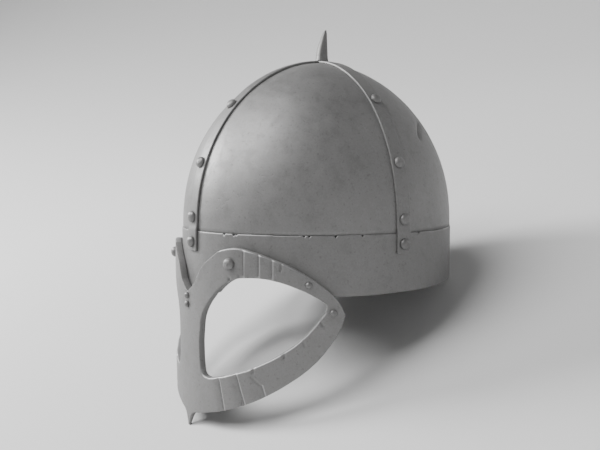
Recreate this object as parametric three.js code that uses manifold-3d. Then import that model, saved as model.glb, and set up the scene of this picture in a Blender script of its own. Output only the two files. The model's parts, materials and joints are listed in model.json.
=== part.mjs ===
// A norse spectacle helmet in iron: a riveted dome of four plates under a fore-and-aft crest band
// and two side bands, a brow band, a spike, and a one-piece face guard with eye holes and a nasal.
// Millimetres. The helmet is built upright: +X is the wearer's left, -Y the face, +Z up, and z = 0
// is the lower edge of the brow band. A last group lays it down as it rests on a table.
import * as THREE from "three";
import { mergeVertices } from "three/addons/utils/BufferGeometryUtils.js";
import Module from "manifold-3d";

// ---- Driving dimensions ----
const HALF_LENGTH = 115; // outer face of the brow band, front to back
const HALF_WIDTH = 101.5; // outer face of the brow band, side to side
const BROW_HEIGHT = 42.4;
const BROW_PLATE = 2;
const GAP = 0.3; // between pieces that touch
const DOME_INSET = 0.6; // dome face behind the brow band's face, just above the seam
const DOME_HEIGHT = 132;
const DOME_PLATE = 1.6;
const DOME_TUCK = 24; // how far the dome plates run down inside the brow band
const SIDE_FULLNESS = 1.105; // exponents of the dome's outline: 1 and 1 make a plain ellipse
const CROWN_FULLNESS = 0.926;
const BAND_WIDTH = 12.6;
const BAND_PLATE = 1.5;
const BAND_END = 27.5; // height of the lower ends of the crest and side bands
const CREST_RIVETS = [136.5, 92.5, 52.6, 34.4]; // heights on the crest band, front and back
const SIDE_RIVETS = [139.5, 92.5, 52, 34.6]; // and on the side bands
const SPIKE = { height: 26, base: 5.6, middle: 4.3, tip: 0.9, lean: 4, setBack: 2.2, tang: 2.2 };
const GUARD_FACE = 5.5; // outer face of the guard in front of the brow band's face
const GUARD_PLATE = GUARD_FACE - GAP;
const NASAL_DROP = 103.5; // tip of the nasal below the brow band
const TIP_TAPER = { from: 88, share: 0.35 }; // the drop where the nasal starts to thin, and how far
const TONGUE = { halfWidth: 11, drop: 20 }; // of the brow band, behind the nasal
const RIVET = {
  band: { head: 4, rise: 3, shank: 1.7 },
  brow: { head: 4.1, rise: 3.4, shank: 1.7 },
  temple: { head: 2.2, rise: 1.6, shank: 1.1 },
  cheek: { head: 2.7, rise: 2.1, shank: 1.2 },
  nasal: { head: 2.5, rise: 2, shank: 1.2 },
};
const PEEN = 0.9; // rise of a rivet's hammered end
const FLATS = 0.5; // how far the flats of a curved plate stand behind its true curve
const AROUND = 48; // facets round the bowl
const UP_THE_DOME = 11;
const RIVET_SIDES = 8;
const SPIKE_SIDES = 12;
const BEND_SPACING = 11; // between the lines where the flat guard is bent

// ---- Materials ----
const iron = (color, roughness) => new THREE.MeshStandardMaterial({ color, roughness, metalness: 0.9 });
const DOME_IRON = iron(0x8e8e8e, 0.5);
const BAND_IRON = iron(0x868686, 0.5);
const GUARD_IRON = iron(0x909090, 0.48);
const RIVET_IRON = iron(0x7c7c7c, 0.45);

// ---- Solids ----
const wasm = await Module();
wasm.setup();

function solid(geometry) {
  const bare = geometry.clone();
  bare.deleteAttribute("normal");
  bare.deleteAttribute("uv");
  const merged = mergeVertices(bare, 1e-4);
  return new wasm.Manifold(
    new wasm.Mesh({
      numProp: 3,
      vertProperties: new Float32Array(merged.attributes.position.array),
      triVerts: new Uint32Array(merged.index.array),
    }),
  );
}

function geometryOf(manifold) {
  const { vertProperties, triVerts } = manifold.getMesh();
  const geometry = new THREE.BufferGeometry();
  geometry.setAttribute("position", new THREE.BufferAttribute(vertProperties, 3));
  geometry.setIndex(new THREE.BufferAttribute(triVerts, 1));
  geometry.computeVertexNormals();
  return geometry;
}

const helmet = new THREE.Group();

function addPiece(name, manifold, material) {
  const mesh = new THREE.Mesh(geometryOf(manifold), material);
  mesh.name = name;
  helmet.add(mesh);
}

const FAR = 300; // beyond everything, each way
const corner = (x, y, z) => new THREE.Vector3(x, y, z);

// A box from its low corner to its high corner.
function block(low, high) {
  const size = new THREE.Vector3().subVectors(high, low);
  const middle = new THREE.Vector3().addVectors(low, high).multiplyScalar(0.5);
  return solid(new THREE.BoxGeometry(size.x, size.y, size.z).translate(...middle));
}

// A profile of [radius, height] points, listed from the top down the outside, turned about Y.
function turned(profile, sides, start = 0) {
  const points = profile.map(([radius, height]) => new THREE.Vector2(radius, height));
  return new THREE.LatheGeometry(points.reverse(), sides, start);
}

// A profile turned about Z, then narrowed to the bowl's oval.
function ovalShell(profile) {
  const round = turned(profile, AROUND, Math.PI / AROUND).rotateX(Math.PI / 2);
  return solid(round.scale(HALF_WIDTH / HALF_LENGTH, 1, 1));
}

// ---- The dome's outline ----
const DOME_BASE = BROW_HEIGHT + GAP;
const DOME_RADIUS = HALF_LENGTH - DOME_INSET;

// The dome's outline, standing proud of the plates' outer face by that much, from crown to base.
function domeLine(proud) {
  return Array.from({ length: UP_THE_DOME + 1 }, (_, i) => {
    const turn = (Math.PI / 2) * (1 - i / UP_THE_DOME);
    const radius = (DOME_RADIUS + proud) * Math.cos(turn) ** SIDE_FULLNESS;
    return [i ? radius : 0, DOME_BASE + (DOME_HEIGHT + proud) * Math.sin(turn) ** CROWN_FULLNESS];
  });
}

// ---- Rivets ----
// One rivet along +Y of its own: a domed head above y = 0, and a shank with a hammered end below.
function rivetGeometry({ head, rise, shank }, grip) {
  const cap = [65, 40, 15].map((degrees) => {
    const turn = THREE.MathUtils.degToRad(degrees);
    return [head * Math.cos(turn), GAP + rise * Math.sin(turn)];
  });
  const peened = shank * 1.7;
  const inside = -grip - GAP - FLATS;
  const profile = [
    [0, GAP + rise], ...cap, [head, GAP], [shank, GAP], [shank, inside], [peened, inside],
    [peened * 0.7, inside - PEEN], [0, inside - PEEN],
  ];
  return turned(profile, RIVET_SIDES);
}

const holes = []; // the clearance round every shank
const rivets = [];

// Sets a rivet with its head's seat at a place, pointing out along a direction.
function rivet(name, size, grip, seat, outward) {
  const turn = new THREE.Quaternion().setFromUnitVectors(new THREE.Vector3(0, 1, 0), outward);
  const place = (geometry) => geometry.applyQuaternion(turn).translate(...seat);
  const bore = new THREE.CylinderGeometry(size.shank + GAP, size.shank + GAP, 24, RIVET_SIDES);
  rivets.push([name, solid(place(rivetGeometry(size, grip)))]);
  holes.push(solid(place(bore)));
}

// Where the outer face of a band lies at a height on its middle line, as a distance from the axis
// on the long side of the oval, with the slope of the face.
function bandFace(height) {
  if (height < DOME_BASE) return { reach: HALF_LENGTH + GAP + BAND_PLATE, lift: 0 };
  const proud = GAP + BAND_PLATE;
  const up = ((height - DOME_BASE) / (DOME_HEIGHT + proud)) ** (1 / CROWN_FULLNESS);
  const turn = Math.asin(up);
  const reach = (DOME_RADIUS + proud) * Math.cos(turn) ** SIDE_FULLNESS;
  const inward = SIDE_FULLNESS * (DOME_RADIUS + proud) * Math.cos(turn) ** (SIDE_FULLNESS - 1) * up;
  const rise = CROWN_FULLNESS * (DOME_HEIGHT + proud) * up ** (CROWN_FULLNESS - 1) * Math.cos(turn);
  return { reach, lift: Math.atan2(inward, rise) };
}

const ARMS = [
  ["crest_rivet_front", 0, -1, CREST_RIVETS],
  ["crest_rivet_rear", 0, 1, CREST_RIVETS],
  ["side_rivet_left", 1, 0, SIDE_RIVETS],
  ["side_rivet_right", -1, 0, SIDE_RIVETS],
];
for (const [name, x, y, heights] of ARMS) {
  const narrowing = x ? HALF_WIDTH / HALF_LENGTH : 1;
  heights.forEach((height, i) => {
    const { reach, lift } = bandFace(height);
    const seat = new THREE.Vector3(x * reach * narrowing, y * reach, height);
    const slope = Math.atan2(Math.sin(lift) * narrowing, Math.cos(lift));
    const outward = new THREE.Vector3(x * Math.cos(slope), y * Math.cos(slope), Math.sin(slope));
    const grip = BAND_PLATE + GAP + (height < BROW_HEIGHT ? BROW_PLATE + GAP + DOME_PLATE : DOME_PLATE);
    rivet(`${name}_${i + 1}`, RIVET.band, grip, seat, outward);
  });
}

// ---- Face guard ----
// The guard is drawn flat, as [distance round from the middle of the face, height], and then
// bent to the brow band's curve. The drawing is the wearer's left half, and the right mirrors it.
const NOTCH = [[0, -2.5], [9.5, 4.5], [17, 15], [26, 23], [38.5, 31.2]];
const BROW_EDGE = [[38.5, 31.2], [48, 33], [58, 32], [77, 26.7], [99, 17], [120.5, 1.3], [128.5, -11.5]];
const CHEEK_EDGE = [[128.5, -11.5], [122, -27], [103.5, -48.3], [72.5, -69], [42, -82.4], [7, -92.5]];
const NASAL_TIP = [[7, -92.5], [3.6, -95.5], [1.6, -NASAL_DROP]];
const EYE_UPPER = [[16, -37], [19.5, -17], [32, -0.5], [47, 10.4], [64, 13.2], [82, 11.2], [100, 5], [113, -2.2]];
const EYE_REAR = [[113, -2.2], [115.8, -5], [115, -9.5]];
const EYE_LOWER = [[115, -9.5], [100, -26.8], [83, -39.3], [60, -51.2], [38, -59], [26.5, -62]];
const EYE_NOSE = [[26.5, -62], [19.5, -60.5], [16.8, -52], [16, -37]];
const CURVE_STEPS = { notch: 4, brow: 9, cheek: 9, tip: 2, upper: 10, rear: 2, lower: 7, nose: 4 };

// Points along a smooth curve through the given ones, without the last.
function smooth(points, steps) {
  const curve = new THREE.SplineCurve(points.map(([across, up]) => new THREE.Vector2(across, up)));
  return curve.getSpacedPoints(steps).slice(0, -1);
}

const mirrored = (points) => points.map(({ x, y }) => new THREE.Vector2(-x, y)).reverse();

function eyeHole() {
  return [
    ...smooth(EYE_UPPER, CURVE_STEPS.upper),
    ...smooth(EYE_REAR, CURVE_STEPS.rear),
    ...smooth(EYE_LOWER, CURVE_STEPS.lower),
    ...smooth(EYE_NOSE, CURVE_STEPS.nose),
  ];
}

function flatGuard() {
  const half = [
    ...smooth(NOTCH, CURVE_STEPS.notch),
    ...smooth(BROW_EDGE, CURVE_STEPS.brow),
    ...smooth(CHEEK_EDGE, CURVE_STEPS.cheek),
    ...smooth(NASAL_TIP, CURVE_STEPS.tip),
    new THREE.Vector2(...NASAL_TIP.at(-1)),
  ];
  const outline = new THREE.Shape([...half, ...mirrored(half.slice(1))].reverse());
  outline.holes = [new THREE.Path(eyeHole()), new THREE.Path(mirrored(eyeHole()))];
  return new THREE.ExtrudeGeometry(outline, { depth: GUARD_PLATE, bevelEnabled: false });
}

// Where an edge crosses the plane x = at, worked out the same way from either end.
function crossing(a, b, at) {
  const [low, high] = a.x < b.x ? [a, b] : [b, a];
  return low.clone().lerp(high, (at - low.x) / (high.x - low.x)).setX(at);
}

// The part of a polygon on one side of the plane x = at.
function clip(polygon, at, side) {
  return polygon.flatMap((a, i) => {
    const b = polygon[(i + 1) % polygon.length];
    const kept = side * (a.x - at) >= 0 ? [a] : [];
    const crosses = (a.x - at) * (b.x - at) < 0;
    return crosses ? [...kept, crossing(a, b, at)] : kept;
  });
}

// Cuts every triangle at planes of equal spacing across X, so that the sheet can be bent.
function scored(geometry, spacing) {
  const flat = geometry.attributes.position;
  const corners = [];
  for (let i = 0; i < flat.count; i += 3) {
    let rest = [0, 1, 2].map((k) => new THREE.Vector3().fromBufferAttribute(flat, i + k));
    const left = Math.min(...rest.map((p) => p.x));
    const right = Math.max(...rest.map((p) => p.x));
    const pieces = [];
    for (let n = Math.floor(left / spacing) + 1; n * spacing < right; n++) {
      pieces.push(clip(rest, n * spacing, -1));
      rest = clip(rest, n * spacing, 1);
    }
    for (const piece of [...pieces, rest])
      for (let k = 2; k < piece.length; k++) corners.push(piece[0], piece[k - 1], piece[k]);
  }
  return new THREE.BufferGeometry().setFromPoints(corners);
}

// The outer face's oval, with the middle of the face half way along it.
const FACE_LINE = new THREE.EllipseCurve(
  0, 0, HALF_WIDTH + GUARD_FACE, HALF_LENGTH + GUARD_FACE, -Math.PI, 0,
);
FACE_LINE.arcLengthDivisions = 2000;

// The place and the outward direction on the guard's outer face.
function onFace(across, up) {
  const along = 0.5 + across / FACE_LINE.getLength();
  const { x, y } = FACE_LINE.getPointAt(along);
  const tangent = FACE_LINE.getTangentAt(along);
  return { seat: new THREE.Vector3(x, y, up), outward: new THREE.Vector3(tangent.y, -tangent.x, 0) };
}

// The share of the guard's thickness that is left at a height, as the nasal draws out to its point.
function thickness(up) {
  const drop = Math.max(-up, TIP_TAPER.from);
  return THREE.MathUtils.mapLinear(drop, TIP_TAPER.from, NASAL_DROP, 1, TIP_TAPER.share);
}

// Bends a flat sheet round the face, its near side that far behind the guard's outer face.
function bent(sheet, behind) {
  const curved = scored(sheet, BEND_SPACING);
  const { position } = curved.attributes;
  for (let i = 0; i < position.count; i++) {
    const { seat, outward } = onFace(position.getX(i), position.getY(i));
    seat.addScaledVector(outward, (position.getZ(i) - behind) * thickness(position.getY(i)));
    position.setXYZ(i, ...seat);
  }
  return solid(curved);
}

// What the eye holes take out of the brow band behind the guard, with its lower edge arched
// over each eye: the eye hole's outline, carried through the band.
function eyeArch(outline) {
  const sheet = { depth: GUARD_FACE + 2 * BROW_PLATE, bevelEnabled: false };
  return bent(new THREE.ExtrudeGeometry(new THREE.Shape(outline), sheet), sheet.depth);
}

// Guard rivets: where they sit on the drawing, and what they go through.
const THROUGH_BROW = GUARD_PLATE + GAP + BROW_PLATE;
const THROUGH_DOME = THROUGH_BROW + GAP + DOME_PLATE;
const GUARD_RIVETS = [
  ["brow_rivet", RIVET.brow, 46, 22, THROUGH_DOME],
  ["temple_rivet", RIVET.temple, 103, 9.3, THROUGH_BROW],
  ["cheek_rivet", RIVET.cheek, 120, -10, GUARD_PLATE],
];
for (const [name, size, across, up, grip] of GUARD_RIVETS)
  for (const [side, sign] of [["left", 1], ["right", -1]]) {
    const { seat, outward } = onFace(sign * across, up);
    rivet(`${name}_${side}`, size, grip, seat, outward);
  }
for (const [name, up] of [["nasal_rivet_upper", -5.3], ["nasal_rivet_lower", -11.8]]) {
  const { seat, outward } = onFace(0, up);
  rivet(name, RIVET.nasal, THROUGH_BROW, seat, outward);
}

// ---- Spike ----
// A thorn that leans back, with a tang through the crown and a hammered end inside.
function spike() {
  const { height, base, middle, tip, lean, setBack, tang } = SPIKE;
  const seat = DOME_BASE + DOME_HEIGHT + BAND_PLATE + 2 * GAP;
  const under = -(BAND_PLATE + DOME_PLATE + 3 * GAP + FLATS);
  const profile = [
    [0, height], [tip, height - 0.6], [2.45, height * 0.8], [middle, height * 0.42], [5.1, height * 0.12],
    [base, 1.2], [base, 0], [tang, 0], [tang, under], [tang * 1.8, under], [tang * 1.3, under - PEEN],
    [0, under - PEEN],
  ];
  const thorn = turned(profile, SPIKE_SIDES).rotateX(Math.PI / 2);
  const { position } = thorn.attributes;
  for (let i = 0; i < position.count; i++) {
    const share = Math.max(0, position.getZ(i) / height);
    position.setY(i, position.getY(i) + lean * share ** 2);
  }
  const bore = new THREE.CylinderGeometry(tang + GAP, tang + GAP, 24, SPIKE_SIDES).rotateX(Math.PI / 2);
  holes.push(solid(bore.translate(0, setBack, seat)));
  return solid(thorn.translate(0, setBack, seat));
}

// ---- Plates and bands ----
function browBand() {
  const inner = HALF_LENGTH - BROW_PLATE;
  const ring = ovalShell([
    [HALF_LENGTH, BROW_HEIGHT], [HALF_LENGTH, -TONGUE.drop], [inner, -TONGUE.drop], [inner, BROW_HEIGHT],
    [HALF_LENGTH, BROW_HEIGHT],
  ]);
  const band = block(corner(-FAR, -FAR, 0), corner(FAR, FAR, FAR));
  const tongue = block(corner(-TONGUE.halfWidth, -FAR, -FAR), corner(TONGUE.halfWidth, 0, 1));
  const arches = eyeArch(eyeHole()).add(eyeArch(mirrored(eyeHole())));
  return ring.intersect(band.add(tongue)).subtract(arches);
}

function domeShell() {
  const tucked = HALF_LENGTH - BROW_PLATE - GAP;
  const foot = BROW_HEIGHT - DOME_TUCK;
  const inner = domeLine(-DOME_PLATE).slice(0, -1).reverse();
  return ovalShell([
    ...domeLine(0),
    [tucked, DOME_BASE],
    [tucked, foot],
    [tucked - DOME_PLATE, foot],
    [tucked - DOME_PLATE, DOME_BASE - DOME_PLATE],
    [DOME_RADIUS - DOME_PLATE, DOME_BASE + DOME_PLATE],
    ...inner,
  ]);
}

function bandShell() {
  const onBrow = HALF_LENGTH + GAP;
  const step = DOME_BASE + 2.5;
  const above = ([, height]) => height > step;
  return ovalShell([
    ...domeLine(GAP + BAND_PLATE).filter(above),
    [onBrow + BAND_PLATE, DOME_BASE + 1],
    [onBrow + BAND_PLATE, BAND_END],
    [onBrow, BAND_END],
    [onBrow, DOME_BASE + 1],
    ...domeLine(GAP).filter(above).reverse(),
  ]);
}

// A piece with every shank's clearance cut out.
const bored = (piece) => holes.reduce((left, hole) => left.subtract(hole), piece);

const spikePiece = spike();
const bands = bandShell();
const dome = domeShell();
const halfBand = BAND_WIDTH / 2;

addPiece("brow_band", bored(browBand()), BAND_IRON);
const crestSlab = block(corner(-halfBand, -FAR, -FAR), corner(halfBand, FAR, FAR));
addPiece("crest_band", bored(bands.intersect(crestSlab)), BAND_IRON);
for (const [side, sign] of [["left", 1], ["right", -1]]) {
  const reach = [sign * (halfBand + GAP), sign * FAR].sort((a, b) => a - b);
  const slab = block(corner(reach[0], -halfBand, -FAR), corner(reach[1], halfBand, FAR));
  addPiece(`side_band_${side}`, bored(bands.intersect(slab)), BAND_IRON);
}
for (const [end, y] of [["front", -1], ["rear", 1]])
  for (const [side, x] of [["left", 1], ["right", -1]]) {
    const across = [(x * GAP) / 2, x * FAR].sort((a, b) => a - b);
    const along = [(y * GAP) / 2, y * FAR].sort((a, b) => a - b);
    const quarter = block(corner(across[0], along[0], -FAR), corner(across[1], along[1], FAR));
    addPiece(`dome_plate_${end}_${side}`, bored(dome.intersect(quarter)), DOME_IRON);
  }
addPiece("spike", spikePiece, RIVET_IRON);
addPiece("face_guard", bored(bent(flatGuard(), GUARD_PLATE)), GUARD_IRON);
for (const [name, piece] of rivets) addPiece(name, piece, RIVET_IRON);

// ---- At rest ----
// On a table the helmet stands on the back of its rim and the inner edge of the nasal's tip.
const tipReach = HALF_LENGTH + GUARD_FACE - GUARD_PLATE * TIP_TAPER.share;
const pitch = Math.atan2(NASAL_DROP, HALF_LENGTH + tipReach);
helmet.rotation.x = -pitch;
const part = new THREE.Group().add(helmet);
const box = new THREE.Box3().setFromObject(part, true);
const middle = box.getCenter(new THREE.Vector3());
helmet.position.set(0, -middle.y, -box.min.z);

export default part;
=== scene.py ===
"""Looks of the norse spectacle helmet: forged plates, bands, guard, spike and rivets, in iron."""
import json
import math

import bmesh
import bpy
import numpy as np
from mathutils import Matrix, Vector, noise
from mathutils.geometry import delaunay_2d_cdt


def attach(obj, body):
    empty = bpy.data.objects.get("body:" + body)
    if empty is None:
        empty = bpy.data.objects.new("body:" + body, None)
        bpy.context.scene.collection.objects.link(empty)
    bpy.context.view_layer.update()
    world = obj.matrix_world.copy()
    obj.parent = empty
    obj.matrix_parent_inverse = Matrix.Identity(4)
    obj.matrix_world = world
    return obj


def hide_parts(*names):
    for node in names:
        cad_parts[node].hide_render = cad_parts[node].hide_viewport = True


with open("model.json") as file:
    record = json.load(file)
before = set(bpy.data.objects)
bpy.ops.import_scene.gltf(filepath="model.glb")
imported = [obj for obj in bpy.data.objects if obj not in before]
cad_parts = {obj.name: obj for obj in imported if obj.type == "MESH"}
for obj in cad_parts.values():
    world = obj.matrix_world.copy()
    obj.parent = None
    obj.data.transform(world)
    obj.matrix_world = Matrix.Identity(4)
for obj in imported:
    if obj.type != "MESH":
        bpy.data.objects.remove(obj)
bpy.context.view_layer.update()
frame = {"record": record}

# ---- Sizes, in millimetres, on the upright helmet ----
# +X is the wearer's left, -Y the face, +Z up, and z = 0 is the lower edge of the brow band.
HALF_LENGTH, HALF_WIDTH = 115.0, 101.5
NARROW = HALF_WIDTH / HALF_LENGTH
BROW_HEIGHT, BROW_PLATE = 42.4, 2.0
GAP = 0.3
DOME_BASE = BROW_HEIGHT + GAP
DOME_RADIUS, DOME_HEIGHT, DOME_PLATE = HALF_LENGTH - 0.6, 132.0, 1.6
DOME_FOOT = 18.4
SIDE_FULLNESS, CROWN_FULLNESS = 1.105, 0.926
BAND_WIDTH, BAND_PLATE, BAND_END = 12.6, 1.5, 27.5
CREST_RIVETS, SIDE_RIVETS = (136.5, 92.5, 52.6, 34.4), (139.5, 92.5, 52.0, 34.6)
GUARD_FACE = 5.5
GUARD_PLATE = GUARD_FACE - GAP
NASAL_DROP = 103.5
TIP_FROM, TIP_SHARE = 88.0, 0.35
TONGUE_HALF, TONGUE_DROP = 11.0, 20.0
# Where the guard's rivets sit, as distance round from the nose and height.
BROW_RIVET_SEAT, TEMPLE_RIVET_SEAT, CHEEK_RIVET_SEAT = (46, 22), (103, 9.3), (120, -10)
NASAL_RIVETS = (-5.3, -11.8)
SPIKE_HEIGHT, SPIKE_LEAN, SPIKE_SET_BACK, TANG = 26.0, 4.0, 2.2, 2.2
BAND_SETTLE = 0.15  # how far the bands bed down into the plates

# How the upright helmet lies at rest, from the flat of the rim's rear edge that the record names.
rim = next(m for m in frame["record"]["mounts"] if m["name"] == "rear_rim")
RIM_MIDDLE = HALF_LENGTH - BROW_PLATE / 2
PITCH = math.atan2(-rim["axis"][1], -rim["axis"][2])
TILT = Matrix.Rotation(-PITCH, 3, "X")
LAID = TILT.to_4x4() @ Matrix.Scale(0.001, 4)
REST = Matrix.Translation(Vector(rim["pos_m"]) - LAID @ Vector((0, RIM_MIDDLE, 0))) @ LAID


# ---- Shader values ----
class Value:
    """A shader socket that Python arithmetic can be done on. Each sum adds its Math node."""

    def __init__(self, paint, socket):
        self.paint, self.socket = paint, socket

    def _math(self, operation, *values):
        return self.paint.node("Math", {"operation": operation}, dict(enumerate(values)))

    def __add__(self, other):
        return self._math("ADD", self, other)

    def __sub__(self, other):
        return self._math("SUBTRACT", self, other)

    def __rsub__(self, other):
        return self._math("SUBTRACT", other, self)

    def __mul__(self, other):
        return self._math("MULTIPLY", self, other)

    def __pow__(self, other):
        return self._math("POWER", self, other)

    __radd__, __rmul__ = __add__, __mul__


class Paint:
    """One material's node tree."""

    def __init__(self, name):
        self.material = bpy.data.materials.new(name)
        self.material.use_nodes = True
        self.tree = self.material.node_tree
        self.shader = self.tree.nodes["Principled BSDF"]

    def set(self, node, socket, value):
        if isinstance(value, Value):
            self.tree.links.new(value.socket, node.inputs[socket])
        else:
            node.inputs[socket].default_value = value

    def node(self, kind, settings=None, inputs=None, output=0):
        """A node of a type, its settings set first and then its sockets, as one output's Value."""
        made = self.tree.nodes.new("ShaderNode" + kind)
        for key, value in (settings or {}).items():
            setattr(made, key, value)
        for socket, value in (inputs or {}).items():
            self.set(made, socket, value)
        return Value(self, made.outputs[output])

    def noise(self, where, scale, detail=3.0, roughness=0.5):
        sizes = {"Vector": where, "Scale": scale, "Detail": detail, "Roughness": roughness}
        return self.node("TexNoise", None, sizes)

    def between(self, value, low, high):
        """0 below low, 1 above high, and smooth between."""
        steps = {"Value": value, "From Min": low, "From Max": high}
        return self.node("MapRange", {"interpolation_type": "SMOOTHSTEP"}, steps)

    def mix(self, share, dark, light):
        ends = {0: share, 6: dark, 7: light}
        return self.node("Mix", {"data_type": "RGBA"}, ends, output=2)


def grey(level, warmth=0.0):
    return (level * (1 + warmth), level, level * (1 - warmth), 1)


METALLIC = 0.55


def iron(name, level, roughness, hammering):
    """Bare forged iron: mottled scale, fine pits and scratches, painted shade in cuts and dent creases, and
    edges painted bright, partly as rubbed wear and partly as painted highlight.
    """
    paint = Paint(name)
    where = paint.node("TexCoord", output="Object")
    edge = paint.node("Attribute", {"attribute_name": "edge"}, output="Fac")
    cut = paint.node("Attribute", {"attribute_name": "cut"}, output="Fac")
    clouds = paint.noise(where, 24.0, 4.0)
    mottle = paint.noise(where, 120.0, 6.0, 0.62)
    grain = paint.noise(where, 800.0, 4.0, 0.65)
    pits = paint.between(paint.noise(where, 520.0, 3.0), 0.6, 0.72)
    along = {"Vector": where, "Rotation": (0.3, 0.5, 0.7), "Scale": (1, 1, 0.06)}
    drawn = paint.noise(paint.node("Mapping", None, along), 1500.0, 2.0)
    scratches = paint.between(drawn, 0.66, 0.74) * paint.between(clouds, 0.45, 0.6)
    scale = paint.between(mottle + clouds * 0.5, 0.68, 0.92)
    # Edges marked in the edge attribute are painted brighter: partly rubbed wear, partly a painted highlight
    # on edges that face up and on the steps' raised walls.
    rubbed_and_highlit = paint.between(edge * 0.9 + mottle * 0.4, 0.5, 1.05)
    # Painted shade: darker where the cut attribute marks the deep parts of steps and nicks and the creases
    # of dents.
    painted_shade = paint.between(cut + clouds * 0.25, 0.25, 1.0)
    tone = clouds * 0.35 + mottle * 0.4 + grain * 0.25
    dark, light = grey(level * 0.78, 0.012), grey(level * 1.22, 0.002)
    base = paint.mix(paint.between(tone, 0.3, 0.7), dark, light)
    base = paint.mix(scale * 0.3, base, grey(level * 0.7, 0.03))
    base = paint.mix(scratches * 0.4, base, grey(level * 1.6))
    base = paint.mix(rubbed_and_highlit * 0.75, base, grey(level * 1.75))
    base = paint.mix(painted_shade * 0.4, base, grey(level * 0.5, 0.02))
    base = paint.mix(pits * 0.4, base, grey(level * 0.5, 0.03))
    paint.set(paint.shader, "Base Color", base)
    rough = roughness - 0.1 + tone * 0.16 + scale * 0.07 - rubbed_and_highlit * 0.12 - scratches * 0.1 + painted_shade * 0.1
    paint.set(paint.shader, "Roughness", rough)
    paint.shader.inputs["Metallic"].default_value = METALLIC
    blows = paint.noise(where, 70.0, 1.0, 0.4)
    height = blows * hammering + mottle * 0.16 + grain * 0.07 - pits * 0.14 - scratches * 0.04
    bump = paint.node("Bump", None, {"Height": height, "Strength": 0.6, "Distance": 0.0006})
    paint.set(paint.shader, "Normal", bump)
    return paint.material


DOME_IRON = iron("dome_iron", 0.225, 0.52, 0.5)
BAND_IRON = iron("band_iron", 0.21, 0.53, 0.6)
GUARD_IRON = iron("guard_iron", 0.225, 0.53, 0.7)
RIVET_IRON = iron("rivet_iron", 0.2, 0.48, 0.8)


# ---- Pieces ----
def added(name, data):
    """A new object in the scene."""
    made = bpy.data.objects.new(name, data)
    bpy.context.collection.objects.link(made)
    return made


def claim(piece, slot, nodes):
    """Makes the piece move with the root body and hides the solids it stands for; slot is not used."""
    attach(piece, "root")
    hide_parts(*nodes)
    return piece


def ring_faces(rows, sides):
    """Faces between rows of corners that go round an axis."""
    return [[j * sides + i, j * sides + (i + 1) % sides,
             (j + 1) * sides + (i + 1) % sides, (j + 1) * sides + i]
            for j in range(rows - 1) for i in range(sides)]


def turned(line, sides):
    """Corners and faces of a line of radius and height turned about Z."""
    around = np.linspace(0, 2 * math.pi, sides, endpoint=False)
    corners = [(r * math.cos(a), r * math.sin(a), z) for r, z in line for a in around]
    return corners, ring_faces(len(line), sides)


def finish_piece(name, corners, faces, material, slot, nodes, attributes=None):
    """A piece from corners in millimetres on the upright helmet, laid at rest."""
    mesh = bpy.data.meshes.new(name)
    mesh.from_pydata([tuple(c) for c in corners], [], faces)
    for key, values in (attributes or {}).items():
        layer = mesh.attributes.new(key, "FLOAT", "POINT")
        layer.data.foreach_set("value", np.asarray(values, np.float32))
    shape = bmesh.new()
    shape.from_mesh(mesh)
    bmesh.ops.remove_doubles(shape, verts=shape.verts, dist=0.004)
    bmesh.ops.dissolve_degenerate(shape, edges=shape.edges, dist=0.001)
    bmesh.ops.recalc_face_normals(shape, faces=shape.faces)
    if shape.calc_volume(signed=True) < 0:  # a thin bent shell can come out of that inside out
        bmesh.ops.reverse_faces(shape, faces=shape.faces)
    shape.to_mesh(mesh)
    shape.free()
    mesh.transform(REST)
    mesh.shade_smooth()
    mesh.materials.append(material)
    return claim(added(name, mesh), slot, nodes)


def grain(points, scale, seed):
    """Smooth noise from -1 to 1 at each point."""
    shift = Vector((seed * 17.3, seed * 5.1, -seed * 9.7))
    return np.array([noise.noise(Vector(p) * scale + shift) for p in points])


# ---- Sheets cut to an outline ----
def inside(points, loops):
    """Which points lie inside the first loop and outside the others."""
    hit = np.zeros(len(points), bool)
    x, y = points[:, 0], points[:, 1]
    for loop in loops:
        for (ax, ay), (bx, by) in zip(loop, np.roll(loop, -1, 0)):
            if ay != by:
                hit ^= ((ay > y) != (by > y)) & (x < (bx - ax) * (y - ay) / (by - ay) + ax)
    return hit


def spaced(points, step, closed=False):
    """Points a step apart along a line through the given ones, ends kept."""
    line = np.asarray(points, float)
    if closed:
        line = np.vstack([line, line[:1]])
    run = np.concatenate([[0], np.cumsum(np.hypot(*np.diff(line, axis=0).T))])
    count = max(2, int(round(run[-1] / step)) + 1)
    at = np.linspace(0, run[-1], count)
    made = np.stack([np.interp(at, run, line[:, k]) for k in (0, 1)], 1)
    return made[:-1] if closed else made


def smooth(points, step):
    """A smooth curve through points, a step apart."""
    p = np.asarray(points, float)
    p = np.vstack([p[:1], p, p[-1:]])
    t = np.linspace(0, 1, 24, endpoint=False)[:, None]
    parts = []
    for a, b, c, d in zip(p, p[1:], p[2:], p[3:]):
        bend = (2 * a - 5 * b + 4 * c - d) * t**2 + (3 * b - a - 3 * c + d) * t**3
        parts.append(0.5 * (2 * b + (c - a) * t + bend))
    return spaced(np.vstack([*parts, p[-2:-1]]), step)


def nearest(points, targets):
    """The distance from each point to the closest target, and which target it is."""
    found, which = np.empty(len(points)), np.empty(len(points), int)
    for start in range(0, len(points), 2000):
        part = slice(start, start + 2000)
        gap = ((points[part, None, :] - targets[None]) ** 2).sum(2)
        which[part] = gap.argmin(1)
        found[part] = np.sqrt(gap.min(1))
    return found, which


def inward(loop):
    """The direction across each point of a loop, to its left."""
    along = np.roll(loop, -1, 0) - np.roll(loop, 1, 0)
    along /= np.hypot(*along.T)[:, None]
    return np.stack([-along[:, 1], along[:, 0]], 1)


def area(loop):
    x, y = loop.T
    return 0.5 * np.sum(x * np.roll(y, -1) - np.roll(x, -1) * y)


ROW_PITCH = 0.866  # rows of even triangles, in steps


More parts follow.
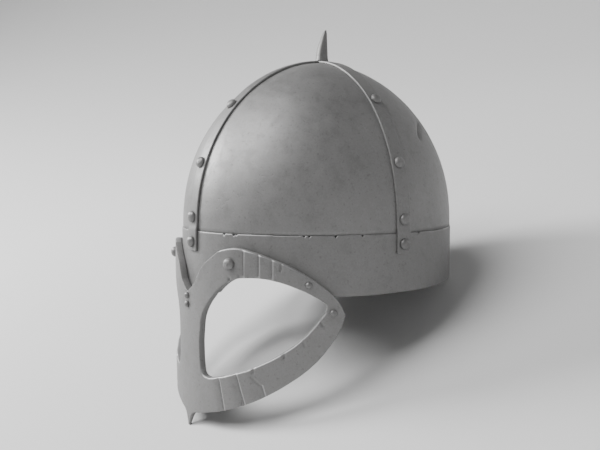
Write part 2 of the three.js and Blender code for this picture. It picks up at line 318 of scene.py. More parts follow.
def sheet(loops, lay, plate, step, rounding, relief=None, extra=(), open_ends=None, wear_and_painted_light=None):
    """Corners, faces and attributes of a plate cut to loops on the flat and laid by lay(u, v, depth).

    The first loop is the outline and the others are holes. rounding(loop) is the radius of the
    edge at each of a loop's points.
    relief(u, v) lowers the front face, and extra holds more points for it to show on.
    The last argument, taken at (u, v), is how rubbed the front face is away from its edges and how bright a
    painted highlight makes it there.
    open_ends is the length of a band that closes on itself, whose end edges get no wall."""
    loops = [loop if (area(loop) > 0) == (i == 0) else loop[::-1] for i, loop in enumerate(loops)]
    rim = np.vstack(loops)
    left, low = rim.min(0)
    right, high = rim.max(0)
    ends = np.zeros(len(rim), bool)
    if open_ends is not None:
        at_end = np.abs(rim[:, 0]) > open_ends - 1e-6
        heights = rim[at_end, 1]
        ends = at_end & (rim[:, 1] > heights.min() + 1e-6) & (rim[:, 1] < heights.max() - 1e-6)
    rows = np.arange(low, high, step * ROW_PITCH)
    grid = np.array([(u + (step / 2 if i % 2 else 0), v) for i, v in enumerate(rows)
                     for u in np.arange(left, right, step)])
    radius = np.concatenate([rounding(loop) for loop in loops])
    into = np.vstack([inward(loop) for loop in loops]) * radius[:, None]
    rings = [(rim + into * share)[~ends] for share in (0.3, 1.0)]
    field = np.vstack([grid, *extra]) if len(extra) else grid
    field = field[inside(field, loops)]
    true_rim = rim[~ends]
    true_radius = radius[~ends]
    away, which = nearest(field, true_rim)
    field = field[away > true_radius[which] + step * 0.3]
    if open_ends is not None:
        field = field[np.abs(field[:, 0]) < open_ends - step * 0.4]
    flat = np.vstack([rim, *rings, field])
    count, edges = 0, []
    for loop in loops:
        n = len(loop)
        edges += [(count + i, count + (i + 1) % n) for i in range(n)]
        count += n
    points, _, triangles, *_ = delaunay_2d_cdt([Vector(p) for p in flat], edges, [], 0, 1e-5)
    points = np.array([tuple(p) for p in points])
    triangles = np.array(triangles)
    middle = points[triangles].mean(1)
    triangles = triangles[inside(middle, loops)]
    a, b, c = (points[triangles[:, k]] for k in range(3))
    turn = (b[:, 0] - a[:, 0]) * (c[:, 1] - a[:, 1]) - (c[:, 0] - a[:, 0]) * (b[:, 1] - a[:, 1])
    triangles[turn < 0] = triangles[turn < 0][:, ::-1]
    used, triangles = np.unique(triangles, return_inverse=True)
    triangles, points = triangles.reshape(-1, 3), points[used]
    off, which = nearest(points, true_rim)
    off[off < 1e-4] = 0
    bend = true_radius[which]
    share = 1 - np.clip(off / bend, 0, 1)
    fall = bend * (1 - np.sqrt(1 - share**2))
    u, v = points.T
    dip = relief(u, v) if relief else np.zeros(len(u))
    thick = plate(v) if callable(plate) else np.full(len(u), plate)
    thin = np.minimum(1, thick / (2.5 * bend))
    front = lay(u, v, -fall * thin - dip)
    back = lay(u, v, -thick + fall * thin)
    n = len(points)
    faces = [tuple(t) for t in triangles] + [tuple(n + t[::-1]) for t in triangles]
    walls = set()
    for t in triangles:
        walls.update((int(t[k]), int(t[(k + 1) % 3])) for k in range(3))
    for i, j in walls:
        end = open_ends is not None and min(abs(u[i]), abs(u[j])) > open_ends - 1e-6
        if (j, i) not in walls and not end:
            faces.append((j, i, n + i, n + j))
    # Painted brighter towards the edges: partly rubbed wear, partly a painted highlight, strongest on the
    # broadly rounded edges that face up.
    edge = np.exp(-off / 1.1) * np.minimum(1, bend / 0.8)
    if wear_and_painted_light:
        edge = np.maximum(edge, wear_and_painted_light(u, v))
    # Painted shade: the deepest parts of the steps and nicks are marked here for darkening.
    cut = np.clip(dip - 1.0, 0, 1)
    both = {"edge": np.concatenate([edge, edge * 0.6]), "cut": np.concatenate([cut, cut * 0])}
    return np.vstack([front, back]), faces, both


# ---- The brow's oval ----
class Oval:
    """An oval seen from above, measured round from the middle of the face."""

    def __init__(self, proud):
        self.w, self.l = HALF_WIDTH + proud, HALF_LENGTH + proud
        self.turn = np.linspace(-math.pi, math.pi, 8001)
        x, y = self.w * np.sin(self.turn), -self.l * np.cos(self.turn)
        run = np.concatenate([[0], np.cumsum(np.hypot(np.diff(x), np.diff(y)))])
        self.round = run - run[-1] / 2
        self.half = run[-1] / 2

    def at(self, across):
        turn = np.interp(across, self.round, self.turn)
        outward = np.stack([np.sin(turn) / self.w, -np.cos(turn) / self.l], -1)
        outward /= np.hypot(outward[..., 0], outward[..., 1])[..., None]
        return np.stack([self.w * np.sin(turn), -self.l * np.cos(turn)], -1), outward

    def lay(self, u, v, depth):
        place, outward = self.at(u)
        return np.column_stack([place + outward * np.asarray(depth)[:, None], v])


BROW, GUARD = Oval(0), Oval(GUARD_FACE)


# ---- Face guard ----
NOTCH = [(0, -2.5), (9.5, 4.5), (17, 15), (26, 23), (38.5, 31.2)]
BROW_EDGE = [(38.5, 31.2), (48, 33), (58, 32), (77, 26.7), (99, 17), (120.5, 1.3), (128.5, -11.5)]
CHEEK_EDGE = [(128.5, -11.5), (122, -27), (103.5, -48.3), (72.5, -69), (42, -82.4), (7, -92.5)]
NASAL_TIP = [(7, -92.5), (3.5, -95.8), (0.7, -NASAL_DROP)]
EYE_UPPER = [(16, -37), (19.5, -17), (32, -0.5), (47, 10.4), (64, 13.2), (82, 11.2), (100, 5), (113, -2.2)]
EYE_REAR = [(113, -2.2), (115.8, -5), (115, -9.5)]
EYE_LOWER = [(115, -9.5), (100, -26.8), (83, -39.3), (60, -51.2), (38, -59), (26.5, -62)]
EYE_NOSE = [(26.5, -62), (19.5, -60.5), (16.8, -52), (16, -37)]
# Steps cut in the guard's face, each from a start to an end. The face falls away before the step
# over the ramp's length, to the depth, and stands up again just after it.
STEPS = [((56.5, 12), (56.5, 33), 10, 1.3), ((68, 12.5), (68, 30.5), 10, 1.1),
         ((77.5, 11.5), (77.5, 27.5), 8, 1.0), ((35.3, -59), (41, -84.5), 6, 0.8),
         ((50.3, -54.5), (57.9, -78), 7, 1.0), ((70, -60), (73.2, -70.5), 5, 0.7)]
STEP_WIDTH = 1.6
# Small V cuts and knocks: start, end, half width and depth.
NICKS = [((84, 19), (84, 23), 1.3, 1.2), ((55.2, -73.5), (54.4, -77.5), 2.4, 1.8),
         ((64.5, -49), (63.8, -53), 1.5, 1.3), ((86, -37), (86.5, -41), 1.6, 1.4),
         ((46, 9.5), (45.5, 12), 1.2, 1.3), ((54, 12), (53.5, 14.5), 1.2, 1.2),
         ((110.5, -15), (113, -18.5), 1.5, 1.2), ((99, -28), (100, -32), 1.3, 0.8),
         ((62.5, -55.5), (69.6, -61), 1.4, 0.7)]


def mirrored(points):
    return (np.asarray(points) * (-1, 1))[::-1]


def joined(*lines):
    return np.vstack([line[:-1] for line in lines])


def guard_loops(step):
    half = joined(*(smooth(part, step) for part in (NOTCH, BROW_EDGE, CHEEK_EDGE, NASAL_TIP)))
    tip = [(NASAL_TIP[-1][0], -NASAL_DROP)]
    outline = np.vstack([half, tip, mirrored(np.vstack([half[1:], tip]))])
    return [outline, eye_loop(step), mirrored(eye_loop(step))]


def eye_loop(step):
    return joined(*(smooth(part, step) for part in (EYE_UPPER, EYE_REAR, EYE_LOWER, EYE_NOSE)))


def roughened(loop, size, seed):
    """A forged edge: the loop with small waves in it."""
    wave = grain([(x * 0.16, y * 0.16, 0) for x, y in loop], 1, seed)
    ripple = grain([(x * 0.55, y * 0.55, 3) for x, y in loop], 1, seed)
    return loop + inward(loop) * (size * (wave + 0.5 * ripple))[:, None]


def along_line(u, v, start, end):
    """How far along a line each point lies, as a share, and how far off it, away from the nose."""
    run = np.subtract(end, start)
    length = np.hypot(*run)
    ahead = ((u - start[0]) * run[0] + (v - start[1]) * run[1]) / length**2
    aside = ((u - start[0]) * run[1] - (v - start[1]) * run[0]) / length
    return ahead, aside if run[1] > 0 else -aside


def cut_depth(u, v):
    """How deep the steps and nicks go at each point, on both halves."""
    u, depth = np.abs(u), np.zeros(len(u))
    for start, end, ramp, deep in STEPS:
        ahead, aside = along_line(u, v, start, end)
        fall = np.clip(1 + aside / ramp, 0, 1) ** 1.6 * deep
        rise = np.clip(1 - aside / STEP_WIDTH, 0, 1) * deep
        groove = 0.45 * np.clip(1 - np.abs(aside) / 0.7, 0, 1)
        ends = np.clip(4 * ahead, 0, 1) * np.clip(4 - 4 * ahead, 0, 1)
        here = np.where(aside < 0, fall, rise) + groove
        fade = np.where((ahead > 0) & (ahead < 1), np.minimum(1, 2 * ends), 0)
        depth = np.maximum(depth, here * fade)
    for start, end, half, deep in NICKS:
        ahead, _ = along_line(u, v, start, end)
        share = np.clip(ahead, 0, 1)
        off = np.hypot(u - start[0] - share * (end[0] - start[0]),
                       v - start[1] - share * (end[1] - start[1]))
        depth = np.maximum(depth, deep * np.clip(1 - off / half, 0, 1))
    return depth


def step_rub_and_highlight(u, v):
    """How bright the raised edge of each step is painted: rubbed wear and a painted highlight standing in
    for light on the step's raised wall.
    """
    u, wear_and_painted_light = np.abs(u), np.zeros(len(u))
    for start, end, *_ in STEPS:
        ahead, aside = along_line(u, v, start, end)
        on_step = (ahead > 0.02) & (ahead < 0.98)
        wear_and_painted_light = np.maximum(wear_and_painted_light, np.exp(-((aside - 1.1) / 0.8) ** 2) * on_step)
    return wear_and_painted_light


def rows_along(start, end, offsets):
    """Points in rows beside a line, on both halves, for a cut to show on."""
    line = spaced([start, end], 0.9)
    run = np.subtract(end, start) / np.hypot(*np.subtract(end, start))
    rows = np.vstack([line + np.array([run[1], -run[0]]) * off for off in offsets])
    return [rows, rows * (-1, 1)]


def cut_rows():
    rows = []
    for start, end, *_ in STEPS:
        way = 1 if end[1] > start[1] else -1
        rows += rows_along(start, end, [way * off for off in (-1.4, -0.7, 0, 0.6, 1.1, STEP_WIDTH, 2.1)])
    for start, end, half, _ in NICKS:
        rows += rows_along(start, end, [half * share for share in (-1.05, -0.5, 0, 0.5, 1.05)])
    return rows


def guard_relief(u, v):
    points = np.column_stack([u, v, u * 0])
    forged = 0.16 * grain(points, 0.07, 4) + 0.07 * grain(points, 0.22, 5)
    return cut_depth(u, v) + forged


def worn_upward(loop, sharp, rubbed_and_highlit):
    """Edge radii: larger where the edge faces up, with a smooth change between."""
    up = np.clip((-inward(loop)[:, 1] - 0.1) / 0.4, 0, 1)
    return sharp + (rubbed_and_highlit - sharp) * up


def guard_rounding(loop):
    notch = (np.abs(loop[:, 0]) < 37) & (loop[:, 1] > -4)
    return np.where(notch, 0.18, worn_upward(loop, 0.3, 0.95))


def guard_thickness(v):
    drop = np.clip((-v - TIP_FROM) / (NASAL_DROP - TIP_FROM), 0, 1)
    return GUARD_PLATE * (1 - drop * (1 - TIP_SHARE))


def make_guard():
    loops = [roughened(loop, 0.14, i) for i, loop in enumerate(guard_loops(1.0))]
    made = sheet(loops, GUARD.lay, guard_thickness, 1.15, guard_rounding, guard_relief, cut_rows(),
                 wear_and_painted_light=step_rub_and_highlight)
    finish_piece("face_guard", *made[:2], GUARD_IRON, "guard_iron", ["face_guard"], made[2])


# ---- Brow band ----
# Where the top edge is chipped, on the wearer's left and right alike: start, end and depth.
CHIPS = [(73.5, 91, 0.25), (98.5, 117.5, 0.3), (42.8, 44.2, 1.6), (45.2, 46.4, 1.2), (34.6, 35.8, 1.4),
         (93.9, 95.1, 1.3), (97.6, 98.6, 1.7), (115.7, 117, 1.9), (135.3, 136.6, 1.5), (186, 187.2, 1.2),
         (205, 223, 0.3), (251, 252.4, 1.5), (283, 297, 0.3)]


def brow_top(u):
    """The height of the brow band's top edge at a distance round."""
    drop = np.zeros(len(u))
    for start, end, deep in CHIPS:
        away = np.maximum(start - np.abs(u), np.abs(u) - end)
        drop = np.maximum(drop, deep * np.clip(0.5 - away / 0.9, 0, 1))
    return BROW_HEIGHT - drop


def on_brow(points):
    """Points of the guard's drawing, carried straight in onto the brow band's."""
    place, outward = GUARD.at(points[:, 0])
    x, y = (place - outward * GUARD_FACE).T
    turn = np.arctan2(x / BROW.w, -y / BROW.l)
    return np.column_stack([np.interp(turn, BROW.turn, BROW.round), points[:, 1]])


def make_brow_band():
    """One strip round the head, closed on itself at the back, arched over the eyes."""
    half, step = BROW.half, 1.3
    arch = on_brow(smooth(EYE_UPPER, step))
    across = np.linspace(TONGUE_HALF, half, int(half / 0.9))
    waves = 0.22 * grain(np.column_stack([across * 0.045, across * 0, across * 0]), 1, 8)
    waves *= (across > 125) & (across < half - 10)
    low = np.column_stack([across, waves + np.maximum(0, np.interp(across, *arch.T, -1, -1))])
    along = np.linspace(half, -half, 2 * int(half / 0.62))
    top = np.column_stack([along, brow_top(along)])
    a, d = TONGUE_HALF, -TONGUE_DROP
    loop = joined(mirrored(low), spaced([(-a, 0), (-a, d)], step), spaced([(-a, d), (a, d)], step),
                  spaced([(a, d), (a, 0)], step), low, spaced([(half, 0), (half, BROW_HEIGHT)], step),
                  top, spaced([(-half, BROW_HEIGHT), (-half, 0)], step))

    def relief(u, v):
        place, _ = BROW.at(u)
        return 0.1 + 0.1 * grain(np.column_stack([place, v]), 0.05, 6)

    def rounding(edge):
        return worn_upward(edge, 0.3, 0.7)

    made = sheet([loop], BROW.lay, BROW_PLATE, step, rounding, relief, open_ends=half)
    finish_piece("brow_band", *made[:2], BAND_IRON, "band_iron", ["brow_band"], made[2])


# ---- Dome ----
def seam_lift(z):
    """How much further out the bands lie where they pass over the brow band."""
    share = np.clip((z - DOME_BASE) / 4.5, 0, 1)
    return (HALF_LENGTH - DOME_RADIUS) * (1 - share * share * (3 - 2 * share))


def dome_line(proud, count):
    """The dome's outline as reach and height, from the crown to the seam."""
    turn = np.linspace(math.pi / 2, 0, count)
    reach = (DOME_RADIUS + proud) * np.clip(np.cos(turn), 0, 1) ** SIDE_FULLNESS
    return reach, DOME_BASE + (DOME_HEIGHT + proud) * np.sin(turn) ** CROWN_FULLNESS


def outside_dome(place, proud):
    """Above zero outside the face that stands proud of the dome by that much."""
    reach = np.hypot(place[:, 0] / NARROW, place[:, 1]) - seam_lift(place[:, 2])
    up = np.maximum(place[:, 2] - DOME_BASE, 0)
    share = (np.maximum(reach, 0) / (DOME_RADIUS + proud)) ** (2 / SIDE_FULLNESS)
    return share + (up / (DOME_HEIGHT + proud)) ** (2 / CROWN_FULLNESS) - 1


class Arm:
    """A band's middle line over the dome, measured down from the crown."""

    def __init__(self, narrow):
        self.proud = GAP + BAND_PLATE
        reach, up = dome_line(self.proud, 1500)
        reach = np.concatenate([reach + seam_lift(up), np.full(60, HALF_LENGTH + self.proud)]) * narrow
        up = np.concatenate([up, np.linspace(DOME_BASE - 0.5, BAND_END - 6, 60)])
        self.reach, self.up = reach, up
        self.run = np.concatenate([[0], np.cumsum(np.hypot(np.diff(reach), np.diff(up)))])
        self.lift = np.arctan2(np.gradient(reach), -np.gradient(up))
        self.end = np.interp(-BAND_END, -up, self.run)

    def at_height(self, height):
        """Reach and slope of the face at a height."""
        return [np.interp(-height, -self.up, values) for values in (self.reach, self.lift)]

    def lay(self, ahead, across, u, v, depth):
        """Ahead and across are level directions, down the arm and over its width."""
        run = np.abs(v)
        side = np.where(v < 0, -1.0, 1.0)[:, None] * np.asarray(ahead, float)
        reach, up, lift = (np.interp(run, self.run, line) for line in (self.reach, self.up, self.lift))
        base = side * reach[:, None] + np.asarray(across, float) * u[:, None]
        base[:, 2] += up
        outward = side * np.cos(lift)[:, None]
        outward[:, 2] += np.sin(lift)
        low, high = np.full(len(u), -0.5), np.full(len(u), 3.0)
        for _ in range(24):
            middle = (low + high) / 2
            out = outside_dome(base - outward * middle[:, None], self.proud) > 0
            low, high = np.where(out, middle, low), np.where(out, high, middle)
        return base + outward * (np.asarray(depth) - low)[:, None]


CREST_ARM, SIDE_ARM = Arm(1.0), Arm(NARROW)


def strip(start, end, seed):
    """A band's outline on the flat, with clipped corners and forged edges."""
    w, c = BAND_WIDTH / 2, 0.8
    corners = [(-w + c, start), (w - c, start), (w, start + c), (w, end - c), (w - c, end), (-w + c, end),
               (-w, end - c), (-w, start + c)]
    return roughened(spaced(corners, 1.1, closed=True), 0.12, seed)


def band_relief(seed):
    def relief(u, v):
        forged = 0.12 * grain(np.column_stack([u, v, u * 0]), 0.09, seed)
        return 0.1 + forged + 0.35 * (u / BAND_WIDTH) ** 2
    return relief


def band_rounding(edge):
    return np.full(len(edge), 0.4)


def make_bands():
    """The crest band over the whole dome, and a side band from beside it down to each ear."""
    beside = BAND_WIDTH / 2 + GAP
    arms = [("crest_band", CREST_ARM, (0, 1, 0), (1, 0, 0), -CREST_ARM.end),
            ("side_band_left", SIDE_ARM, (1, 0, 0), (0, 1, 0), beside),
            ("side_band_right", SIDE_ARM, (-1, 0, 0), (0, 1, 0), beside)]
    thick = BAND_PLATE + GAP + BAND_SETTLE
    for seed, (name, arm, ahead, across, start) in enumerate(arms, 11):
        def lay(u, v, depth):
            return arm.lay(ahead, across, u, v, depth)

        made = sheet([strip(start, arm.end, seed)], lay, thick, 1.3, band_rounding, band_relief(seed))
        finish_piece(name, *made[:2], BAND_IRON, "band_iron", [name], made[2])


# A crescent dent high on the wearer's left, behind the side band, as points along it.
DENT = [(67.9, 47.3, 123.6), (74.8, 40.6, 118.3), (79.4, 37.0, 112.6)]
# Shallow knocks elsewhere: place, width and depth.
KNOCKS = [((-60, 62, 118), 7, 0.7), ((38, -70, 135), 8, 0.35), ((-72, -58, 84), 9, 0.5),
          ((95, 30, 66), 10, 0.4), ((20, 95, 88), 8, 0.6), ((-30, 100, 70), 9, 0.4)]


def knocked(points, inner):
    """Plate points moved in by hammer marks and dents, with how dented each is."""
    centre = np.array([0, 0, 62.0])
    away = points - centre
    away /= np.linalg.norm(away, axis=1)[:, None]
    dip = 0.16 + 0.16 * grain(points, 0.045, 21) + 0.05 * grain(points, 0.14, 22)
    line = np.array(DENT)
    line = np.vstack([np.linspace(a, b, 12) for a, b in zip(line, line[1:])])
    off = np.sqrt(((points[:, None] - line[None]) ** 2).sum(2)).min(1)
    crease = np.exp(-(off / 1.9) ** 2)
    dip += 1.7 * crease + 0.3 * np.exp(-(off / 6) ** 2)
    for place, width, deep in KNOCKS:
        dip += deep * np.exp(-(((points - place) ** 2).sum(1) / width**2))
    # The second value marks the dent's crease, which the material darkens as painted shade.
    return points - away * dip[:, None], crease * 0.5


def make_dome():
    """Four plates, each a shell over its quarter, stepped in at the seam to tuck into the brow band."""
    around, rows = 92, 104
    seam = GAP / 2
    tucked = HALF_LENGTH - BROW_PLATE - GAP
    reach, up = dome_line(0, rows)
    reach_in, up_in = dome_line(-DOME_PLATE, rows)
    up_in = np.maximum(up_in, DOME_BASE + DOME_PLATE)
    outer = np.column_stack([reach, up])
    outer[-1] = DOME_RADIUS - 0.1, BROW_HEIGHT - 0.05
    foot = [(tucked, BROW_HEIGHT - 0.1), (tucked, 30), (tucked, DOME_FOOT)]
    foot_in = [(tucked - DOME_PLATE, DOME_BASE - DOME_PLATE), (tucked - DOME_PLATE, 30),
               (tucked - DOME_PLATE, DOME_FOOT)]
    outer = np.vstack([outer, foot])
    inner = np.vstack([np.column_stack([reach_in, up_in]), foot_in])
    turn = np.linspace(0, math.pi / 2, around)
    count = len(outer) * around
    front = [[j * around + i, j * around + i + 1, (j + 1) * around + i + 1, (j + 1) * around + i]
             for j in range(len(outer) - 1) for i in range(around - 1)]
    faces = front + [[count + k for k in reversed(face)] for face in front]
    rim = [*range(around), *(j * around + around - 1 for j in range(1, len(outer))),
           *(count - 1 - i for i in range(1, around)),
           *(j * around for j in range(len(outer) - 2, 0, -1))]
    faces += [[a, b, count + b, count + a] for a, b in zip(rim, rim[1:] + rim[:1])]
    quarters = (("dome_plate_front_left", 1, -1), ("dome_plate_front_right", -1, -1),
                ("dome_plate_rear_left", 1, 1), ("dome_plate_rear_right", -1, 1))
    for name, x, y in quarters:
        points, cuts = [], []
        for shell in (outer, inner):
            wide = np.maximum(seam, shell[:, :1] * np.sin(turn)[None] * NARROW) * x
            deep = np.maximum(seam, shell[:, :1] * np.cos(turn)[None]) * y
            high = np.repeat(shell[:, 1:], around, 1)
            flat = np.column_stack([wide.ravel(), deep.ravel(), high.ravel()])
            moved, dented = knocked(flat, shell is inner)
            tucked_in = flat[:, 2] < DOME_BASE + 0.05
            moved[tucked_in] = flat[tucked_in]
            moved[:, 0] = x * np.maximum(seam, moved[:, 0] * x)
            moved[:, 1] = y * np.maximum(seam, moved[:, 1] * y)
            points.append(moved)
            cuts.append(dented)
        corners = np.vstack(points)
        # Painted brighter towards the seam with the brow band, through the edge attribute.
        edge = np.exp(-np.abs(corners[:, 2] - DOME_BASE) / 1.5)
        # Painted shade in the dent's crease, carried in the cut attribute.
        wear_and_painted_light = {"cut": np.concatenate(cuts) * 0.6, "edge": edge * 0.5}
        finish_piece(name, corners, faces, DOME_IRON, "dome_iron", [name], wear_and_painted_light)


# ---- Spike ----
def make_spike():
    """A forged thorn, roughly square, leaning back, with its tang and hammered end inside."""
    height, tang = SPIKE_HEIGHT, TANG
    seat = DOME_BASE + DOME_HEIGHT + BAND_PLATE + 2 * GAP
    under = -(BAND_PLATE + DOME_PLATE + 2 * GAP)
    profile = [(0.02, height), (0.55, height - 0.15), (0.95, height - 0.9), (1.85, 22.9), (2.55, 20.2),
               (3.2, 17.2), (3.85, 14.0), (4.35, 10.7), (4.75, 7.6), (5.0, 4.9), (5.2, 2.9), (5.4, 1.5),
               (5.55, 0.7), (5.55, 0.0), (5.1, -0.3), (tang, -0.3), (tang, under), (tang * 1.7, under - 0.1),
               (tang * 1.6, under - 0.7), (tang * 0.9, under - 1.1), (0.02, under - 1.2)]
    sides = 32
    turn = np.linspace(0, 2 * math.pi, sides, endpoint=False)
    corners = []
    for radius, z in profile:
        share = max(0.0, z / height)
        square = 0.05 if z > 0 else 0.0
        shape = radius * (1 - square + square * np.cos(4 * (turn - 0.5)))
        x = shape * np.cos(turn)
        flare = 0.9 * math.exp(-abs(z) / 2.2) * np.maximum(0, np.sin(turn)) * (z > 0)
        y = (shape + flare) * np.sin(turn) + SPIKE_SET_BACK + SPIKE_LEAN * share**2
        corners.append(np.column_stack([x, y, np.full(sides, seat + z)]))
    corners = np.vstack(corners)
    outer = corners[:, 2] > seat + 0.5
    corners[outer, 0] += 0.14 * grain(corners[outer], 0.35, 31)
    corners[outer, 1] += 0.14 * grain(corners[outer], 0.35, 32)
    faces = ring_faces(len(profile), sides)
    faces += [list(range(sides))[::-1], [len(corners) - sides + i for i in range(sides)]]
    finish_piece("spike", corners, faces, RIVET_IRON, "rivet_iron", ["spike"])


# ---- Rivets ----
def blank_rivet(name, head, rise, shank, grip):
    """One rivet along Z: a domed head on z = 0, its shank, and its hammered end."""
    top = rise + GAP
    end = -grip
    lip = 0.35
    dome = [(head * math.cos(a), lip + (top - lip) * math.sin(a))
            for a in np.radians([0, 14, 28, 42, 56, 70, 82])]
    under_head = [(head, 0.15), (head * 0.94, 0), (shank, 0.05)]
    hammered = [(shank, end), (shank * 1.6, end), (shank * 1.75, end - 0.3), (shank * 1.45, end - 0.75),
                (shank * 0.8, end - 1.05)]
    line = [*dome[::-1], *under_head, *hammered]
    sides = 28
    corners, faces = turned(line, sides)
    corners += [(0, 0, top), (0, 0, end - 1.1)]
    last = (len(line) - 1) * sides
    faces += [[(i + 1) % sides, i, len(corners) - 2] for i in range(sides)]
    faces += [[last + i, last + (i + 1) % sides, len(corners) - 1] for i in range(sides)]
    mesh = bpy.data.meshes.new(name)
    mesh.from_pydata(corners, [], faces)
    shape = bmesh.new()
    shape.from_mesh(mesh)
    bmesh.ops.recalc_face_normals(shape, faces=shape.faces)
    shape.to_mesh(mesh)
    shape.free()
    mesh.transform(Matrix.Scale(0.001, 4))
    mesh.shade_smooth()
    return added(name, mesh)


def rivet_tree():
    """Sets a blank on every point along its outward direction, each turned and struck differently."""
    tree = bpy.data.node_groups.new("set_rivets", "GeometryNodeTree")
    sockets = {}
    for name, kind in (("Geometry", "Geometry"), ("Blank", "Object"), ("Unevenness", "Float"),
                       ("Seed", "Int"), ("Iron", "Material")):
        made = tree.interface.new_socket(name, in_out="INPUT", socket_type="NodeSocket" + kind)
        sockets[name] = made.identifier
    tree.interface.new_socket("Geometry", in_out="OUTPUT", socket_type="NodeSocketGeometry")

    def node(kind, settings=None, **inputs):
        made = tree.nodes.new(kind)
        for key, value in (settings or {}).items():
            setattr(made, key, value)
        for key, value in inputs.items():
            socket = made.inputs[key.replace("_", " ")]
            if isinstance(value, bpy.types.NodeSocket):
                tree.links.new(value, socket)
            else:
                socket.default_value = value
        return made

    given = tree.nodes.new("NodeGroupInput").outputs
    blank = node("GeometryNodeObjectInfo", Object=given["Blank"])
    outward = node("GeometryNodeInputNamedAttribute", {"data_type": "FLOAT_VECTOR"}, Name="outward")
    aim = node("FunctionNodeAlignRotationToVector", {"axis": "Z"}, Vector=outward.outputs["Attribute"])
    spin = node("FunctionNodeRandomValue", {"data_type": "FLOAT"}, Seed=given["Seed"])
    spin.inputs[3].default_value = 2 * math.pi
    about = node("FunctionNodeAxisAngleToRotation", Axis=(0, 0, 1), Angle=spin.outputs[1])
    turned_about = node("FunctionNodeRotateRotation", {"rotation_space": "LOCAL"},
                        Rotation=aim.outputs[0], Rotate_By=about.outputs[0])
    placed = node("GeometryNodeInstanceOnPoints", Points=given["Geometry"],
                  Instance=blank.outputs["Geometry"], Rotation=turned_about.outputs[0])
    real = node("GeometryNodeRealizeInstances", Geometry=placed.outputs[0])
    waves = node("ShaderNodeTexNoise", Scale=330.0, Detail=1.0)
    centred = node("ShaderNodeVectorMath", {"operation": "SUBTRACT"})
    tree.links.new(waves.outputs["Color"], centred.inputs[0])
    centred.inputs[1].default_value = (0.5, 0.5, 0.5)
    struck = node("ShaderNodeVectorMath", {"operation": "SCALE"})
    tree.links.new(centred.outputs[0], struck.inputs[0])
    tree.links.new(given["Unevenness"], struck.inputs["Scale"])
    moved = node("GeometryNodeSetPosition", Geometry=real.outputs[0], Offset=struck.outputs[0])
    ironed = node("GeometryNodeSetMaterial", Geometry=moved.outputs[0], Material=given["Iron"])
    tree.links.new(ironed.outputs[0], tree.nodes.new("NodeGroupOutput").inputs[0])
    return tree, sockets


def set_rivets(name, size, grip, seats, nodes, seed):
    """Rivets of one size and length at seats, each a place and an outward direction."""
    blank = blank_rivet(name + "_blank", *size, grip)
    mesh = bpy.data.meshes.new(name + "_points")
    mesh.from_pydata([tuple(REST @ Vector(place)) for place, _ in seats], [], [])
    layer = mesh.attributes.new("outward", "FLOAT_VECTOR", "POINT")
    outward = np.ravel([tuple(TILT @ Vector(out)) for _, out in seats])
    layer.data.foreach_set("vector", outward.astype(np.float32))
    holder = added(name + "_points", mesh)
    setter = holder.modifiers.new("rivets", "NODES")
    setter.node_group = RIVET_TREE
    values = {"Blank": blank, "Unevenness": 0.0007, "Seed": seed, "Iron": RIVET_IRON}
    for key, value in values.items():
        setter[RIVET_SOCKETS[key]] = value
    bpy.context.view_layer.update()
    view = bpy.context.evaluated_depsgraph_get()
    made = bpy.data.meshes.new_from_object(holder.evaluated_get(view))
    made.name = name
    for spare in (holder, blank):
        bpy.data.objects.remove(spare)
    return claim(added(name, made), "rivet_iron", nodes)


RIVET_TREE, RIVET_SOCKETS = rivet_tree()
# Each kind's head radius, rise and shank radius.
BAND_RIVET, BROW_RIVET, TEMPLE_RIVET = (4.25, 3.0, 1.7), (4.2, 3.4, 1.7), (2.4, 1.8, 1.1)
CHEEK_RIVET, NASAL_RIVET = (2.8, 2.2, 1.2), (2.5, 2.0, 1.2)


def arm_seat(arm, ahead, height):
    reach, lift = arm.at_height(height)
    out = Vector(ahead) * math.cos(lift) + Vector((0, 0, math.sin(lift)))
    return Vector(ahead) * reach + Vector((0, 0, height)), out


def guard_seat(across, up):
    place, outward = GUARD.at(across)
    return (*place, up), (*outward, 0)


def make_rivets():
    arms = [("crest_rivet_front", CREST_ARM, (0, -1, 0), CREST_RIVETS),
            ("crest_rivet_rear", CREST_ARM, (0, 1, 0), CREST_RIVETS),
            ("side_rivet_left", SIDE_ARM, (1, 0, 0), SIDE_RIVETS),
            ("side_rivet_right", SIDE_ARM, (-1, 0, 0), SIDE_RIVETS)]
    through_dome = BAND_PLATE + GAP + DOME_PLATE
    through_both = through_dome + BROW_PLATE + GAP
    groups = [("band_rivets", (0, 1, 2), through_dome), ("brow_band_rivets", (3,), through_both)]
    for seed, (name, picks, grip) in enumerate(groups, 1):
        seats = [arm_seat(arm, ahead, heights[i]) for _, arm, ahead, heights in arms for i in picks]
        nodes = [f"{start}_{i + 1}" for start, *_ in arms for i in picks]
        set_rivets(name, BAND_RIVET, grip, seats, nodes, seed)
    through_brow = GUARD_PLATE + GAP + BROW_PLATE
    pairs = [("brow_rivet", BROW_RIVET, BROW_RIVET_SEAT, through_brow + GAP + DOME_PLATE),
             ("temple_rivet", TEMPLE_RIVET, TEMPLE_RIVET_SEAT, through_brow),
             ("cheek_rivet", CHEEK_RIVET, CHEEK_RIVET_SEAT, GUARD_PLATE)]
    for seed, (name, size, (across, up), grip) in enumerate(pairs, 11):
        seats = [guard_seat(across, up), guard_seat(-across, up)]
        set_rivets(name + "s", size, grip, seats, [name + "_left", name + "_right"], seed)
    seats = [guard_seat(0, up) for up in NASAL_RIVETS]
    nodes = ["nasal_rivet_upper", "nasal_rivet_lower"]
    set_rivets("nasal_rivets", NASAL_RIVET, through_brow, seats, nodes, 21)


# ---- Stage, in metres ----
FLOOR_FLAT, FLOOR_BEND, WALL = 0.9, 2.3, 0.1
FLOOR_GREY, AIR_LIGHT = 0.66, 0.13
LIT_HEIGHT = 60  # millimetres up the helmet, where the lights point
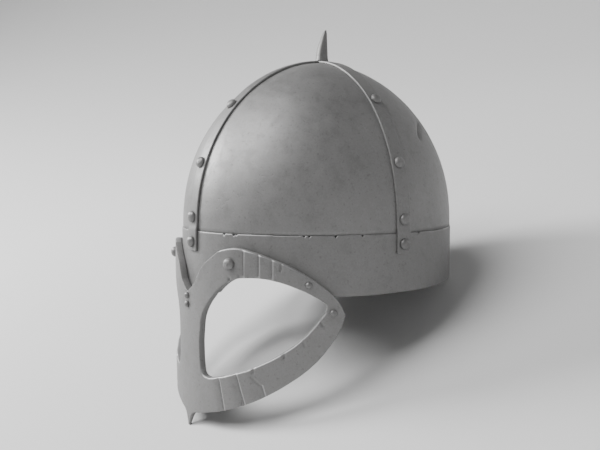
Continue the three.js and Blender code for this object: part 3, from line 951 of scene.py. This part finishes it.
# Each light's direction from the helmet, distance, size and watts.
KEY_LIGHT = (-0.734, -0.550, 0.397), 2.2, 0.7, 62
SOFT_LIGHT = (-0.13, -0.66, 0.74), 2.0, 1.5, 50
# The camera's place, in millimetres, and its sideways and upward directions, on the upright helmet.
CAMERA_AT, LENS, SENSOR = (436.0, -323.3, 83.5), 38.87, 36.0
CAMERA_RIGHT, CAMERA_UP = (0.571998, 0.820250, 0.002813), (-0.064921, 0.041853, 0.997012)


def floor_paper():
    material = bpy.data.materials.new("floor_paper")
    material.use_nodes = True
    shader = material.node_tree.nodes["Principled BSDF"]
    shader.inputs["Base Color"].default_value = grey(FLOOR_GREY)
    shader.inputs["Roughness"].default_value = 0.9
    return material


def make_stage():
    """A pale floor that turns up into a round wall all the way round."""
    flat, bend, sides = FLOOR_FLAT, FLOOR_BEND, 128
    line = [(0.02, 0.0), (0.6, 0.0), (flat, 0.0)]
    line += [(flat + bend * math.sin(a), bend - bend * math.cos(a))
             for a in np.radians(np.arange(3, 91, 3))]
    line += [(flat + bend, bend + WALL)]
    corners, faces = turned(line, sides)
    faces = [face[:1] + face[:0:-1] for face in faces]  # facing inward, where the helmet is
    faces.append(list(range(sides)))
    mesh = bpy.data.meshes.new("floor")
    mesh.from_pydata(corners, [], faces)
    mesh.shade_smooth()
    mesh.materials.append(floor_paper())
    added("floor", mesh)


def aimed(place, towards):
    """A light's matrix at a place, looking at a point."""
    turn = (Vector(towards) - Vector(place)).to_track_quat("-Z", "Y").to_matrix().to_4x4()
    return Matrix.Translation(place) @ turn


def area_light(name, direction, distance, size, watts):
    middle = REST @ Vector((0, 0, LIT_HEIGHT))
    light = bpy.data.lights.new(name, "AREA")
    light.shape, light.size, light.energy = "DISK", size, watts
    place = middle + TILT @ Vector(direction) * distance
    added(name, light).matrix_world = aimed(place, middle)


def light_scene():
    area_light("key", *KEY_LIGHT)
    area_light("soft", *SOFT_LIGHT)
    world = bpy.data.worlds.new("studio")
    world.use_nodes = True
    air = world.node_tree.nodes["Background"]
    air.inputs["Color"].default_value = (1, 1, 1, 1)
    air.inputs["Strength"].default_value = AIR_LIGHT
    bpy.context.scene.world = world


def place_camera():
    lens = bpy.data.cameras.new("camera")
    lens.lens, lens.sensor_width = LENS, SENSOR
    camera = added("camera", lens)
    right, up = Vector(CAMERA_RIGHT), Vector(CAMERA_UP)
    turn = Matrix((right, up, right.cross(up))).transposed()
    camera.matrix_world = Matrix.Translation(REST @ Vector(CAMERA_AT)) @ (TILT @ turn).to_4x4()
    bpy.context.scene.camera = camera


make_guard()
make_brow_band()
make_bands()
make_dome()
make_spike()
make_rivets()
make_stage()
light_scene()
place_camera()
